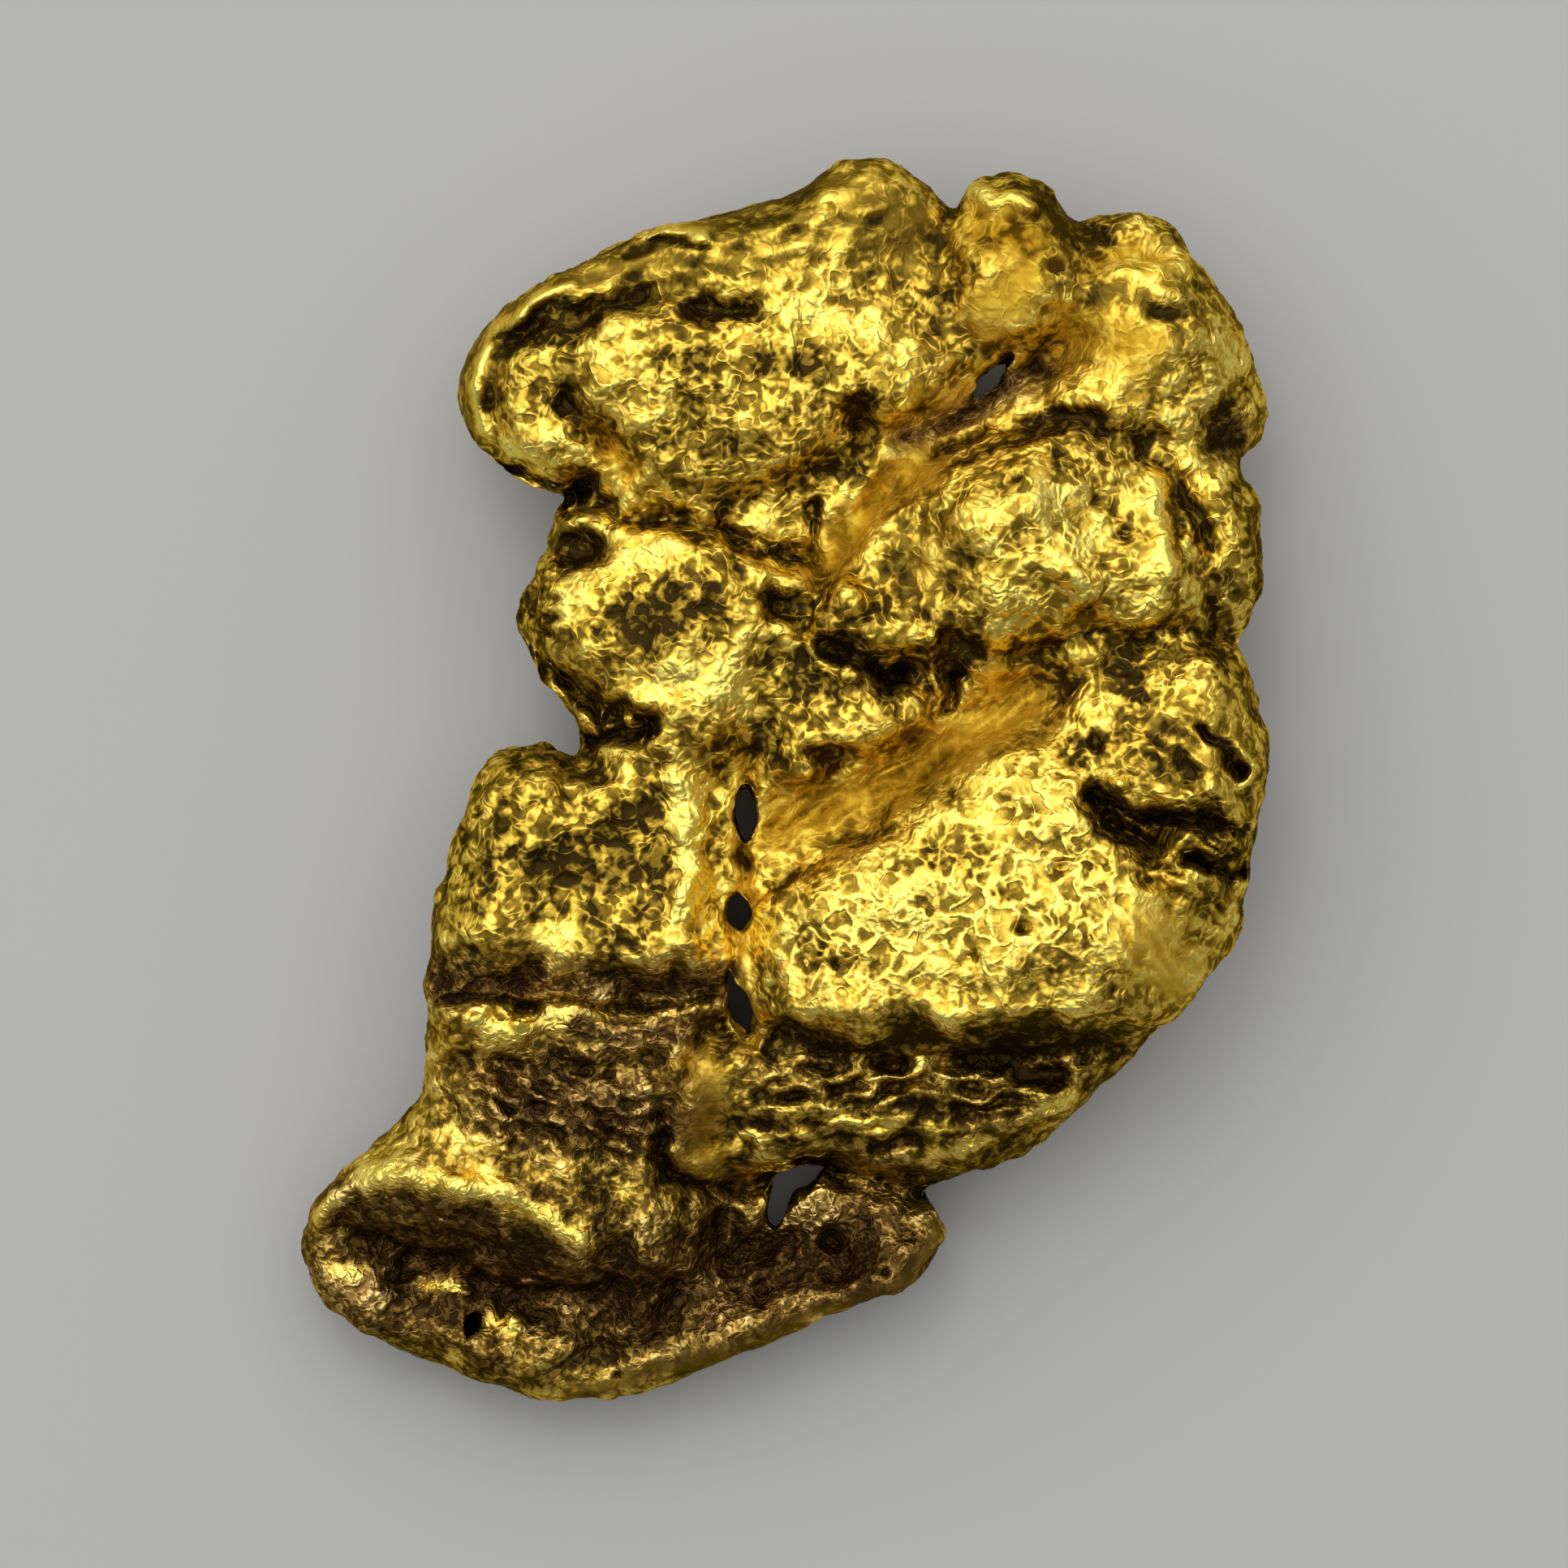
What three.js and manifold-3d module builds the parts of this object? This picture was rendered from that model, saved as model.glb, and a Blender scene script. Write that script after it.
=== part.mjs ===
// A natural placer gold nugget, lying flat as it would on a bench: one piece of metal, 24 mm long.
// River gold like this is a pack of soft lobes that were beaten together in gravel. Each lobe is a
// rounded pillow on its own outline; they overlap, so that valleys and creases run between them, and
// where two of them miss each other a slot is left right through the nugget.
// Frame: millimetres, +Z up, +Y along the length, origin on the ground under the middle.
import * as THREE from "three";
import { mergeVertices } from "three/addons/utils/BufferGeometryUtils.js";
import { ImprovedNoise } from "three/addons/math/ImprovedNoise.js";
import Module from "manifold-3d";

// Driving dimensions, in millimetres.
const LENGTH = 24; // overall, along Y
const FACET = 0.78; // size of the facets round a lobe's outline
const RINGS = 11; // facets from the top of a lobe over its rim to the underside
const DENT_SIZE = 2.1; // spacing of the dents that gravel left
const DENT_DEPTH = 0.45; // how far a dent moves the surface up or down
const DENT_DRIFT = 0.15; // how far it moves it sideways
const WORN_DEPTH = 0.12; // the underside's high spots are worn flat by this much
const THROUGH = 20; // tall enough to cut right through

// Each lobe: its outline seen from above, clockwise, as [x, y]; the heights of its top and underside;
// how full it is (2 is an ellipse, more is flatter with rounder shoulders); the slope of the whole lobe
// along x and y; and how deep its top is dished.
const LOBES = {
  shoulder_bar: {
    rim: [
      [-6.2, 7.4], [-6.02, 8.2], [-5.4, 9.1], [-4.3, 9.7], [-3.2, 9.98], [-1.2, 10.1], [1, 10.2],
      [3, 9.9], [4.2, 9.1], [4.3, 8.1], [3.5, 7.2], [2.3, 6.3], [0.8, 5.2], [-1, 4.8], [-2.6, 5.2],
      [-3.6, 5.4], [-4.6, 5.66], [-5.5, 6.2], [-6.05, 6.8],
    ],
    top: 5.25, bottom: -0.1, full: 2.6,
  },
  upper_strip: {
    rim: [
      [-4.3, 9.65], [-3.25, 10.05], [-2.9, 10.45], [-2.2, 10.72], [-1, 10.98], [0.2, 11.28],
      [0.85, 11.62], [1.3, 11.9], [1.85, 12], [2.4, 11.86], [2.85, 11.5], [3.25, 11.05], [3.6, 10],
      [3.6, 8.9], [2.5, 8.2], [0.5, 8], [-1.5, 8.3], [-3.2, 8.9],
    ],
    top: 4.9, bottom: 1.2, full: 2.4, slope: [0.02, -0.04],
  },
  finger: {
    rim: [
      [3.4, 10.85], [3.58, 11.35], [3.88, 11.68], [4.3, 11.78], [4.8, 11.66], [5.2, 11.35],
      [5.5, 10.8], [5.9, 10.1], [6.1, 9.2], [5.9, 8.4], [5.2, 7.9], [4.2, 8.1], [3.2, 8.6],
      [2.8, 9.6], [3.1, 10.3],
    ],
    top: 5.2, bottom: 1.5, full: 2.3, slope: [0.02, -0.1],
  },
  corner_lobe: {
    rim: [
      [5.4, 10.5], [6.25, 10.95], [7, 10.9], [7.6, 10.6], [8.1, 9.95], [8.6, 9.25], [8.95, 8.6],
      [9.2, 7.7], [9.25, 7.05], [9.05, 6.45], [8.75, 6.2], [8.2, 5.4], [7.2, 4.8], [5.8, 5.2],
      [4.4, 6.2], [4.2, 7.2], [4.8, 8], [5.2, 9],
    ],
    top: 4.8, bottom: 1.1, full: 2.5, slope: [-0.02, -0.04],
  },
  right_dome: {
    rim: [
      [2.2, 6], [3.2, 6.6], [4.6, 6.95], [6, 6.95], [7.2, 6.4], [8.1, 5.4], [8.6, 4.3],
      [8.8, 3.2], [8.4, 2.3], [7, 1.9], [5.4, 1.7], [3.8, 1.7], [2.4, 2], [1.2, 3], [0.9, 4.2],
      [1.3, 5.2],
    ],
    top: 5.7, bottom: 0.1, full: 2.5,
  },
  right_rim: {
    rim: [
      [8, 6.1], [8.85, 6.03], [9.13, 5.6], [9.26, 4.9], [9.27, 4.1], [9.12, 3.45], [8.9, 2.8],
      [8.2, 2.2], [7, 2.7], [6.6, 4.2], [7, 5.6],
    ],
    top: 4.7, bottom: 1.4, full: 2.3,
  },
  left_lobe: {
    rim: [
      [-4.22, 5.25], [-3, 6], [-1.2, 5.9], [0.4, 5.1], [1.2, 3.9], [1.3, 2.6], [0.8, 1.2],
      [0, 0.2], [-1.2, -0.3], [-2.6, -0.4], [-3.5, 0], [-3.82, 0.6], [-3.95, 1.38], [-4.4, 1.8],
      [-4.8, 2.42], [-5.02, 3], [-4.95, 3.45], [-4.62, 3.95], [-4.33, 4.5],
    ],
    top: 5.15, bottom: 0.7, full: 2.5,
  },
  centre_knob: {
    rim: [
      [0.6, 3.6], [1.2, 4], [2.2, 3.7], [2.8, 2.9], [2.7, 2], [1.8, 1.6], [0.8, 1.9], [0.4, 2.8],
    ],
    top: 5.35, bottom: 2, full: 2.4,
  },
  centre_bar: {
    rim: [
      [-0.7, 0.3], [-0.6, 1.4], [0.4, 2.2], [1.8, 2.5], [2.9, 2.2], [3.4, 1.4], [2.5, 0.6],
      [1.2, 0.1], [0.2, -0.35], [-0.5, -0.3],
    ],
    top: 4.95, bottom: 1.4, full: 2.5,
  },
  great_lobe: {
    rim: [
      [-0.7, -2.4], [0.4, -1.5], [1.8, -0.5], [3.2, 0.5], [4.6, 1.2], [6, 1.1], [7, 0.2],
      [7.9, -1.4], [8.4, -2.6], [8.4, -3.3], [7.8, -4.05], [7.2, -4.85], [6.3, -5.2],
      [4.4, -5.5], [2, -5.5], [0.2, -5.3], [-0.5, -4.7], [-0.72, -3.5],
    ],
    top: 5.8, bottom: 0, full: 2.8,
  },
  right_lobe: {
    rim: [
      [5, 1.6], [6, 2.8], [7.6, 3.3], [8.85, 2.7], [9.1, 1.75], [9.33, 0.6], [9.26, -0.5],
      [9.07, -1.3], [9, -2.1], [8.75, -2.9], [8.3, -3.4], [7.2, -3.6], [5.8, -2.4], [4.9, -0.6],
    ],
    top: 5.35, bottom: 1, full: 2.5,
  },
  lower_slope: {
    rim: [
      [-2.05, -6.1], [-1.6, -5.2], [-0.5, -4.4], [0.8, -3.6], [3, -3.2], [5.5, -3.4],
      [7.6, -4.2], [6.6, -5.45], [6.05, -5.8], [5.5, -6.45], [4.85, -6.97], [3.9, -7.42],
      [2.9, -7.84], [1.7, -7.75], [0.6, -7.32], [-0.3, -7.5], [-1.2, -7.62], [-1.85, -7.15],
    ],
    top: 4.4, bottom: 0.9, full: 2.5, slope: [0, 0.36],
  },
  left_plate: {
    rim: [
      [-5.85, 0.02], [-5.4, 0.58], [-4.9, 0.8], [-4.42, 0.73], [-4, 0.42], [-3.2, 0.7],
      [-2, 1], [-1.1, 0.7], [-0.9, 0], [-0.92, -1], [-0.96, -2], [-1, -3.2], [-0.8, -4.2],
      [-1.4, -4.6], [-3, -4.6], [-5, -4.6], [-6.3, -4.8], [-6.73, -4.3], [-6.68, -3.2],
      [-6.57, -2], [-6.2, -1.05],
    ],
    top: 4.95, bottom: 0.8, full: 3, dish: 0.3,
  },
  left_band: {
    rim: [
      [-6.72, -4.5], [-5, -3.6], [-3, -3.6], [-1.2, -3.9], [-0.72, -4.85], [-0.9, -6], [-2, -7.2],
      [-4.3, -7.4], [-6.2, -7.1], [-6.85, -6.1], [-6.7, -5.4],
    ],
    top: 4.2, bottom: 1.1, full: 2.5, slope: [0, 0.08],
  },
  neck: {
    rim: [
      [-6.7, -5.4], [-5, -4.6], [-2.4, -4.6], [-1.2, -5.8], [-1, -7.6], [-1.6, -9.3], [-4, -9.6],
      [-6.8, -9], [-8.7, -8.1], [-8.2, -7.35], [-7.4, -6.72], [-6.95, -6.15],
    ],
    top: 3.9, bottom: 0.8, full: 2.5, slope: [0, 0.06],
  },
  left_foot: {
    rim: [
      [-9.27, -8.8], [-9.02, -8.15], [-8.4, -7.5], [-7, -7], [-5, -7.4], [-3.3, -8.3],
      [-1.8, -9.8], [-2.4, -11.5], [-3.9, -11.98], [-5, -11.8], [-6.1, -11.5], [-6.9, -10.98],
      [-8, -10.65], [-8.8, -10.1], [-9.17, -9.5],
    ],
    top: 3.1, bottom: -0.05, full: 2.4, slope: [0, 0.1], dish: 0.7,
  },
  right_foot: {
    rim: [
      [-2.8, -7.4], [-0.6, -7.2], [0.9, -7], [2.3, -7.45], [2.92, -8], [3.05, -8.4], [2.75, -9.15],
      [1.85, -9.88], [0.6, -10.42], [-1.6, -11.28], [-3.5, -11.92], [-4.6, -11.4], [-4.4, -9.6],
      [-3.8, -8.3],
    ],
    top: 2.9, bottom: 0.35, full: 2.5, dish: 0.9,
  },
};

// The sheet of metal that the lobes grew together on, which shows in the valleys between them.
const CORE = {
  rim: [
    [-5.3, 7.3], [-4.8, 8.4], [-3.3, 9.2], [-1, 10], [1.8, 10.9], [3.2, 10.2], [4.4, 10.7],
    [5.3, 10], [7, 10], [8, 8.5], [8.3, 7], [8, 5.8], [8.3, 4], [8.1, 2.4], [8.4, 0.6],
    [8.1, -2.4], [6.6, -4.5], [4.8, -5.4], [2.6, -5.6], [0.2, -5.3], [-1.2, -4.4], [-3, -4],
    [-5, -4], [-5.9, -3.6], [-5.8, -2], [-5.1, -0.2], [-3.5, -0.5], [-3, 1], [-3.9, 2.8],
    [-3.7, 4.4], [-3.3, 5.7], [-4.7, 6.3],
  ],
  top: 4.3, bottom: 1.1, bevel: 0.6,
};

// Slots and clefts right through, between lobes that miss each other: outlines as above.
const SLOTS = {
  upper_left_slot: [[-0.7, -0.15], [-0.52, -0.45], [-0.54, -0.85], [-0.72, -1.1], [-0.86, -0.8], [-0.84, -0.4]],
  middle_left_slot: [[-0.95, -2.2], [-0.72, -2.28], [-0.66, -2.6], [-0.78, -2.82], [-0.94, -2.65]],
  lower_left_slot: [[-1.0, -3.55], [-0.82, -3.95], [-0.6, -4.55], [-0.72, -4.72], [-0.95, -4.35], [-1.14, -3.9]],
  heel_slot: [
    [0.1, -7.4], [0.5, -7.36], [0.98, -7.6], [0.5, -7.76], [0.28, -8.05], [0.12, -8.45], [-0.1, -8.75],
    [-0.24, -8.3], [-0.24, -7.85],
  ],
  shoulder_slot: [[3.6, 7.4], [3.86, 7.5], [4.3, 8.05], [4.05, 8.0], [3.7, 7.72]],
  foot_slot: [[-6.14, -10.75], [-5.98, -10.7], [-5.86, -10.2], [-6.0, -10.3]],
};

const wasm = await Module();
wasm.setup();

// A closed geometry as a manifold-3d solid, for joining and cutting.
function solid(geometry) {
  const bare = geometry.clone();
  bare.deleteAttribute("normal");
  bare.deleteAttribute("uv");
  const merged = mergeVertices(bare, 1e-4);
  return new wasm.Manifold(
    new wasm.Mesh({
      numProp: 3,
      vertProperties: merged.getAttribute("position").array,
      triVerts: new Uint32Array(merged.index.array),
    }),
  );
}

// A solid back as a geometry, with facets that show.
function geometryOf(body) {
  const mesh = body.getMesh();
  return new THREE.BufferGeometry()
    .setAttribute("position", new THREE.BufferAttribute(mesh.vertProperties, 3))
    .setIndex(new THREE.BufferAttribute(mesh.triVerts, 1))
    .toNonIndexed();
}

// A smooth closed curve through the points of an outline.
function outline(rim) {
  const corners = rim.map(([x, y]) => new THREE.Vector3(x, y, 0));
  return new THREE.CatmullRomCurve3(corners, true, "centripetal");
}

// The wander that gravel gave the whole surface: mostly up and down, a little sideways.
const noise = new ImprovedNoise();
function batter(point) {
  const [x, y, z] = point.toArray().map((value) => value / DENT_SIZE);
  point.x += DENT_DRIFT * noise.noise(x + 7.3, y, z);
  point.y += DENT_DRIFT * noise.noise(x, y + 3.1, z);
  point.z += DENT_DEPTH * noise.noise(x, y, z + 5.7);
  return point;
}

// One lobe: a sphere whose meridians run from the middle of the outline out to its rim.
function lobe({ rim, top, bottom, full, slope = [0, 0], dish = 0 }) {
  const curve = outline(rim);
  const spokes = Math.round(curve.getLength() / FACET);
  const geometry = new THREE.SphereGeometry(1, spokes, RINGS);
  const position = geometry.getAttribute("position");
  const uv = geometry.getAttribute("uv");
  const box = new THREE.Box3().setFromPoints(curve.points);
  const middle = box.getCenter(new THREE.Vector3());
  const half = (top - bottom) / 2;
  const power = 2 / full;
  for (let i = 0; i < position.count; i += 1) {
    const polar = (1 - uv.getY(i)) * Math.PI;
    const reach = Math.max(Math.sin(polar), 0) ** power;
    const rise = Math.sign(Math.cos(polar)) * Math.abs(Math.cos(polar)) ** power;
    const point = curve.getPointAt((1 - uv.getX(i) + 1) % 1).sub(middle).multiplyScalar(reach);
    point.z = (top + bottom) / 2 + half * rise + slope[0] * point.x + slope[1] * point.y;
    point.z -= rise > 0 ? dish * (1 - reach ** 2) ** 2 : 0;
    point.add(new THREE.Vector3(middle.x, middle.y, 0));
    batter(point);
    position.setXYZ(i, point.x, point.y, point.z);
  }
  return solid(geometry);
}

// The core: a flat sheet with eased edges.
function core({ rim, top, bottom, bevel }) {
  const shape = new THREE.Shape(outline(rim).getPoints(2 * rim.length).slice(0, -1));
  const geometry = new THREE.ExtrudeGeometry(shape, {
    depth: top - bottom - 2 * bevel,
    bevelThickness: bevel,
    bevelSize: bevel,
    bevelOffset: -bevel,
    bevelSegments: 3,
  });
  return solid(geometry.translate(0, 0, bottom + bevel));
}

// A cutter with straight walls on an outline, tall enough to go right through.
function slot(rim) {
  const shape = new THREE.Shape(outline(rim).getPoints(3 * rim.length).slice(0, -1));
  const geometry = new THREE.ExtrudeGeometry(shape, { depth: THROUGH, bevelEnabled: false });
  return solid(geometry.translate(0, 0, -THROUGH / 2));
}

// Everything under the ground, where the underside is worn flat.
function ground() {
  const geometry = new THREE.BoxGeometry(2 * LENGTH, 2 * LENGTH, THROUGH);
  return solid(geometry.translate(0, 0, WORN_DEPTH - THROUGH / 2));
}

function nugget() {
  let body = core(CORE);
  for (const shape of Object.values(LOBES)) {
    body = body.add(lobe(shape));
  }
  for (const rim of Object.values(SLOTS)) {
    body = body.subtract(slot(rim));
  }
  const geometry = geometryOf(body.subtract(ground()));
  geometry.computeBoundingBox();
  const middle = geometry.boundingBox.getCenter(new THREE.Vector3());
  const size = geometry.boundingBox.getSize(new THREE.Vector3());
  geometry.translate(-middle.x, -middle.y, -geometry.boundingBox.min.z);
  geometry.scale(LENGTH / size.y, LENGTH / size.y, LENGTH / size.y);
  geometry.computeVertexNormals();
  return geometry;
}

const gold = new THREE.MeshStandardMaterial({ color: 0xd9a520, roughness: 0.35, metalness: 1 });
const piece = new THREE.Mesh(nugget(), gold);
piece.name = "nugget";

const part = new THREE.Group();
part.add(piece);
export default part;
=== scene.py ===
import bpy
import numpy as np
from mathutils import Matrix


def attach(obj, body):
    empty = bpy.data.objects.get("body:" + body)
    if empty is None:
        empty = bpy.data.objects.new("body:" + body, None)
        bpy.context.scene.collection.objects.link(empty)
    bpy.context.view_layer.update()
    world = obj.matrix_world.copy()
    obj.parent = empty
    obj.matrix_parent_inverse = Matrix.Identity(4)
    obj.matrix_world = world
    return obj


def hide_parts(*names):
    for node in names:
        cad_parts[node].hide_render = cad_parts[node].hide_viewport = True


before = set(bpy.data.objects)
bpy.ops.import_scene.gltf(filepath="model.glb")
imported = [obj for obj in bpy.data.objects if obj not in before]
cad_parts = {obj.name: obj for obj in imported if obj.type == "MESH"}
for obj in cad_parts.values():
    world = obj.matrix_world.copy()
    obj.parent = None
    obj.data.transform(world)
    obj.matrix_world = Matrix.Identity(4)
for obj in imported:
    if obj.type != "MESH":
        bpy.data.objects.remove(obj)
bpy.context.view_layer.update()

# ---- The nugget's body ----
# One lump of native gold: soft lobes that river gravel beat together until their seams closed.
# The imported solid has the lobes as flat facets. A copy of it is worked in millimetres: rounded
# over so that each lobe flows into the next, then pressed and folded as the metal was.
THOUSAND = 1000
COARSE = 0.14  # spacing of the mesh while the body is shaped, in millimetres
FINE = 0.066  # and while its surface is worked

bpy.ops.object.select_all(action="DESELECT")
nugget = bpy.data.objects.new("gold_nugget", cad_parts["nugget"].data.copy())
bpy.context.scene.collection.objects.link(nugget)
bpy.context.view_layer.objects.active = nugget
nugget.select_set(True)
nugget.data.materials.clear()
nugget.scale = (THOUSAND, THOUSAND, THOUSAND)
bpy.ops.object.transform_apply(location=False, rotation=False, scale=True)
bpy.ops.object.mode_set(mode="EDIT")
bpy.ops.mesh.select_all(action="SELECT")
bpy.ops.mesh.remove_doubles(threshold=0.001)
bpy.ops.object.mode_set(mode="OBJECT")


def finish_with(kind, **settings):
    """Puts a modifier on the nugget and applies it."""
    modifier = nugget.modifiers.new(kind.lower(), kind)
    for name, value in settings.items():
        setattr(modifier, name, value)
    bpy.ops.object.modifier_apply(modifier=modifier.name)


def smoothstep(low, high, value):
    share = np.clip((value - low) / (high - low), 0, 1)
    return share * share * (3 - 2 * share)


class Metal:
    """The nugget's vertices, taken up to be worked by strokes seen from above, and put down again."""

    def __init__(self):
        self.places = self.read("co")
        self.facing = smoothstep(0.05, 0.5, self.read("normal")[:, 2])
        waver = 0.09 * np.stack([self.wander(1.6, 1), self.wander(1.6, 2)], 1)
        waver += 0.05 * np.stack([self.wander(0.6, 3), self.wander(0.6, 4)], 1)
        self.ground = self.places[:, :2] + waver
        self.uneven = 1 + 0.3 * self.wander(1.2, 5)

    def read(self, what):
        flat = np.empty(3 * len(nugget.data.vertices), np.float32)
        nugget.data.vertices.foreach_get(what, flat)
        return flat.reshape(-1, 3).astype(float)

    def wander(self, size, seed):
        """A smooth unevenness of the given size in every direction, mostly between -1 and 1."""
        random = np.random.default_rng(seed)
        waves = 12
        total = np.zeros(len(self.places))
        for _ in range(waves):
            direction = random.normal(size=3)
            direction *= random.uniform(0.7, 1.4) * 2 * np.pi / (size * np.linalg.norm(direction))
            total += np.sin(self.places @ direction + random.uniform(0, 2 * np.pi))
        return total / np.sqrt(waves)

    def distance(self, path):
        """How far each vertex is from a line of straight lengths that wavers a little."""
        nearest = np.full(len(self.ground), np.inf)
        points = [np.array(point, float) for point in path]
        for start, end in zip(points, points[1:] or points):
            along = end - start
            length = max(float(along @ along), 1e-9)
            share = np.clip((self.ground - start) @ along / length, 0, 1)
            gap = self.ground - (start + share[:, None] * along)
            nearest = np.minimum(nearest, np.hypot(gap[:, 0], gap[:, 1]))
        return nearest

    def near(self, width, *path):
        """One on the path, falling softly to nothing at the width."""
        return 1 - smoothstep(0, 1, self.distance(path) / width)

    def over(self, areas):
        """One in the middle of any of the areas, falling softly to nothing at its width."""
        return np.maximum.reduce([self.near(width, *path) for width, *path in areas])

    def press(self, height, width, *path):
        """Raises a soft ridge along a path, or with a height under 0 presses a hollow."""
        self.places[:, 2] += height * self.uneven * self.facing * self.near(width, *path)

    def swell(self, height, width, *path):
        """Pushes the flanks and the top outwards along a path, or with a height under 0 inwards."""
        self.places += height * self.near(width, *path)[:, None] * self.read("normal")

    def crease(self, depth, width, *path):
        """Folds the surface down to a sharp line along a path."""
        fall = np.clip(1 - self.distance(path) / width, 0, 1) ** 1.5
        self.places[:, 2] -= depth * self.uneven * self.facing * fall

    def wrinkle(self, height, length, width, turn, seed, share):
        """Furrows long in the direction of the turn, in degrees, on each vertex's share."""
        along = np.array([np.cos(np.radians(turn)), np.sin(np.radians(turn))])
        across = np.array([-along[1], along[0]])
        furrowed = np.stack([self.ground @ along / length, self.ground @ across / width], 1)
        random = np.random.default_rng(seed)
        waves = 14
        total = np.zeros(len(self.places))
        for _ in range(waves):
            direction = random.normal(size=2)
            direction *= random.uniform(0.7, 1.5) * 2 * np.pi / np.linalg.norm(direction)
            total += np.sin(furrowed @ direction + random.uniform(0, 2 * np.pi))
        self.places[:, 2] += height * self.facing * share * total / np.sqrt(waves)

    def put_down(self):
        nugget.data.vertices.foreach_set("co", self.places.astype(np.float32).ravel())
        nugget.data.update()


finish_with("REMESH", mode="VOXEL", voxel_size=COARSE)
finish_with("SMOOTH", factor=0.5, iterations=8)
metal = Metal()
press = metal.press

# The broad upper end: a rounded bar with a raised lip round its left end, a groove inside the
# lip, and a deep cleft where it folds over the lobe on its right.
press(0.1, 0.45, (-5.6, 6.4), (-5.9, 7.0), (-6.0, 7.6), (-5.8, 8.3), (-5.3, 8.85), (-4.4, 9.3), (-3.3, 9.5))
press(-0.3, 0.6, (-5.2, 8.5), (-4.4, 8.7), (-3.4, 9.1), (-2.6, 9.1))
press(-0.18, 0.5, (-1.7, 9.0), (-0.5, 8.8))
press(-0.25, 0.45, (-4.2, 7.3), (-3.5, 6.7), (-2.9, 5.9))
press(-0.5, 0.9, (5.3, 8.3), (4.6, 7.8), (3.8, 7.3), (3.1, 6.9))
press(-0.25, 0.9, (4.3, 9.2))
press(-0.45, 0.6, (1.5, 6.8))
press(-0.25, 0.7, (3.9, 10.6), (4.6, 10.2))
press(-0.35, 0.4, (6.0, 9.95), (7.3, 10.0))
press(-0.6, 0.7, (8.5, 6.6))

# The dome on the right, with the crease all round it and the trough that runs off to its left.
press(-0.2, 0.5, (3.0, 6.4), (4.0, 6.8), (5.0, 6.95), (6.5, 6.75), (7.5, 5.95), (8.1, 4.75), (8.5, 3.3))
press(0.2, 0.6, (4.4, 6.0), (4.8, 5.0), (5.2, 4.2), (5.6, 3.7))
press(0.22, 0.45, (7.05, 6.0), (7.1, 4.8), (7.3, 4.1))
press(-0.3, 1.3, (2.8, 4.2))
press(-0.22, 0.5, (2.6, 6.2), (1.3, 4.7), (0.7, 4.0))
press(-0.3, 0.7, (4.6, 2.4), (5.6, 2.85), (6.6, 2.7), (7.6, 2.95), (8.8, 2.7))

# The left middle lobe and the small lobes between it and the dome.
press(-0.25, 0.5, (-4.0, 5.4), (-2.5, 5.1), (-1.2, 4.9), (-0.3, 4.5), (0.4, 4.2))
press(-0.6, 0.6, (-4.0, 4.5), (-3.7, 4.6))
press(-0.4, 0.5, (-4.8, 2.4), (-4.0, 1.9), (-3.3, 1.4))
press(-0.5, 0.45, (-3.6, 0.85), (-2.8, 0.9))
press(-0.5, 0.45, (-0.2, 3.4), (0.4, 3.2))
press(0.3, 0.45, (1.0, 3.8), (1.6, 3.4), (2.5, 2.7))
press(-0.65, 0.55, (0.95, 2.5), (1.5, 2.3), (2.2, 2.0))
press(-0.5, 0.55, (3.2, 2.5), (3.7, 2.4))
press(-0.4, 0.35, (0.6, 0.65), (1.2, 0.6), (0.9, 0.35))

# The smooth trough that runs up across the middle.
press(-0.3, 0.9, (-0.1, -0.8), (1.5, -0.3), (3.0, 0.6), (4.6, 1.6))

# The lobe on the right edge, torn across in short dark clefts.
press(-0.5, 0.5, (5.9, -0.4), (6.9, -0.6), (8.0, -0.75))
press(-0.6, 0.45, (6.2, -0.65), (7.0, -1.2))
press(-0.4, 0.35, (7.7, -1.45), (8.7, -1.65))
press(0.25, 0.3, (7.4, -1.1), (7.8, -0.95), (8.5, -1.15))

# The great lobe: a broad crown, a crest along its lower edge, and a steep pitted slope below it.
press(0.18, 0.5, (0.2, -4.1), (1.5, -4.4), (2.0, -4.5), (2.8, -4.2), (3.7, -4.5), (4.5, -4.3), (7.0, -4.4))
press(-0.6, 0.85, (0.0, -5.0), (2.5, -5.15), (4.5, -5.1), (6.2, -4.9))
press(-0.25, 0.7, (0.6, -3.3))
SLOPE_PITS = (
    (0.4, (-0.3, -5.95), (0.35, -5.95)),
    (0.42, (1.1, -5.9), (1.9, -5.95), (2.8, -6.3)),
    (0.36, (3.3, -6.2), (4.4, -6.2)),
    (0.3, (3.4, -5.2), (4.4, -5.2)),
    (0.3, (0.7, -6.85), (1.2, -6.8)),
    (0.25, (-0.9, -6.65), (0.0, -6.65)),
    (0.3, (1.8, -6.95), (2.6, -6.85)),
    (0.3, (4.6, -5.7), (5.4, -5.6)),
)
for area in SLOPE_PITS:
    press(-0.28, *area)
press(0.3, 0.9, (-1.3, -5.5), (-1.6, -6.2), (-1.5, -7.0))

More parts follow.
